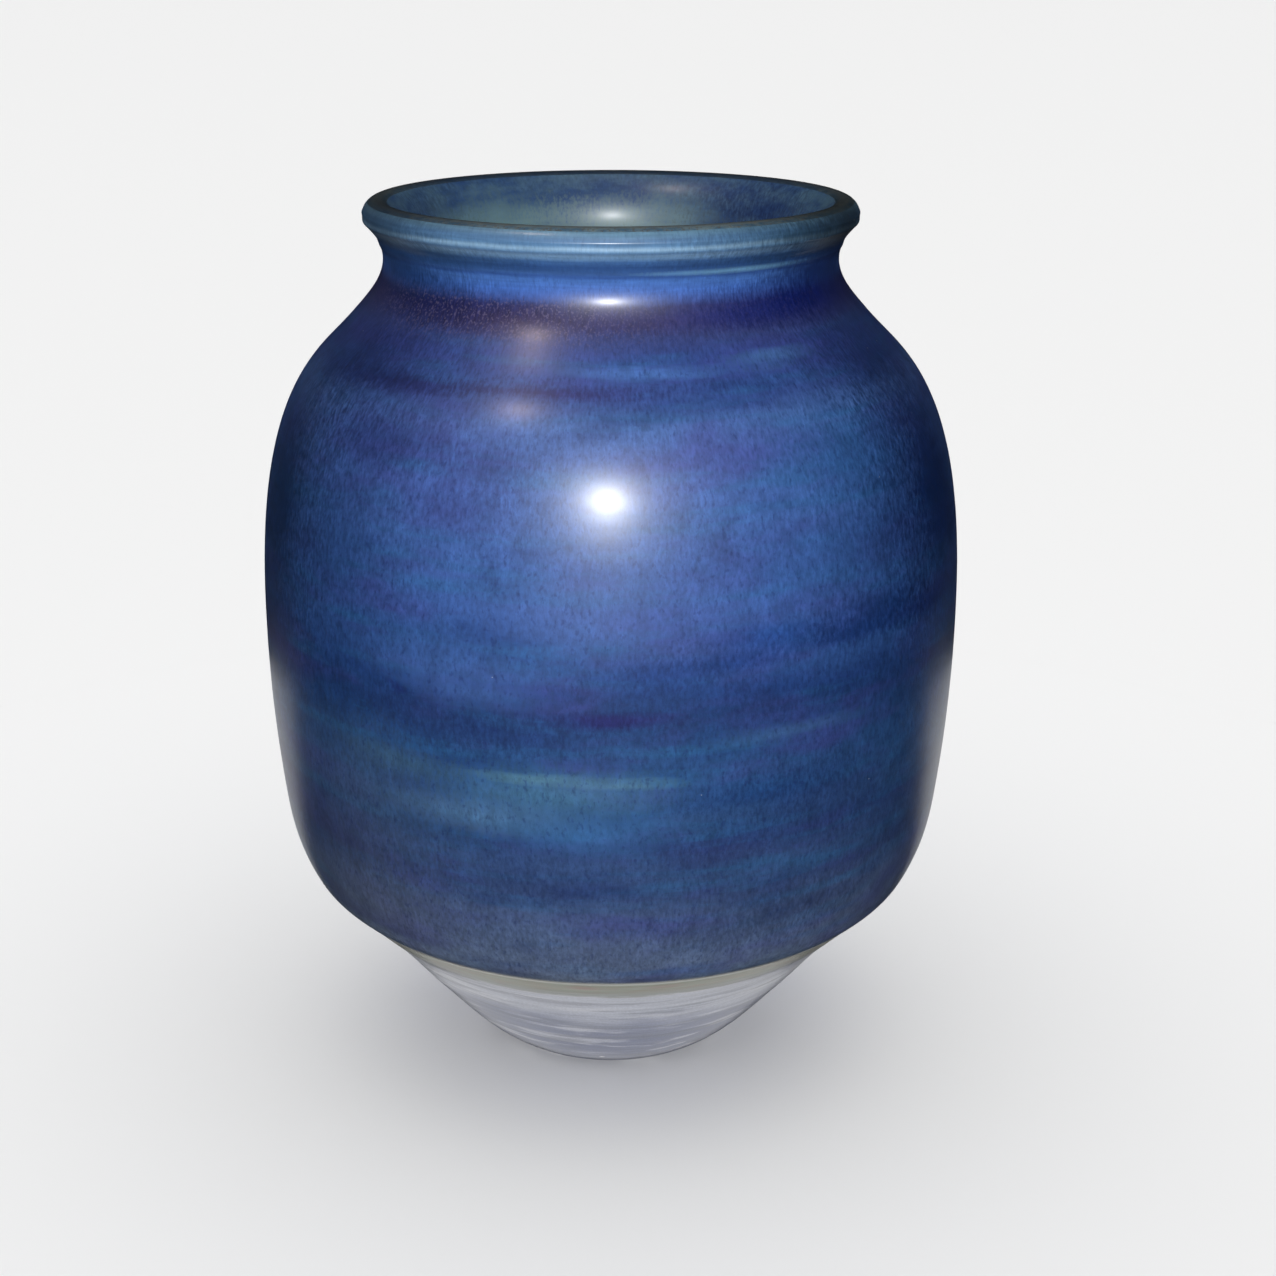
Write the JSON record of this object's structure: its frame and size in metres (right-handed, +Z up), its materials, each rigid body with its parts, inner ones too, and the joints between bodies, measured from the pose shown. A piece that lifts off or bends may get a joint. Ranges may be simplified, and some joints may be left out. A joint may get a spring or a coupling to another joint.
{
  "type": "stoneware vase",
  "caption": "Round stoneware vase with a wide body, a short hollowed neck, a rolled lip and a small turned foot, glazed inside and out above the bare flare.",
  "frame": {"origin": "centre of the plane that the foot ring stands on", "axes": "+Z up along the axis that the vase was turned on; X and Y are level, and neither is special"},
  "size_m": [0.2, 0.2, 0.25],
  "materials": {
    "bare_clay": "bare fired stoneware, pale lavender grey, dry, with turning marks",
    "blue_glaze": "satin cobalt blue glaze in soft horizontal bands of teal, navy and violet, with fine streaks",
    "olive_wash": "thin olive and ochre glaze wash with rust spots",
    "worn_lip_glaze": "thin grey brown glaze where it breaks over the lip",
    "liner_glaze": "satin grey green blue liner glaze"
  },
  "bodies": {
    "root": {"turned_foot": "bare_clay", "flared_base": "bare_clay", "belly_wall": "bare_clay", "shoulder_wall": "bare_clay", "neck_collar": "bare_clay", "outer_glaze": "blue_glaze", "edge_wash": "olive_wash", "lip_glaze": "worn_lip_glaze", "liner_glaze": "liner_glaze"}
  },
  "joints": []
}
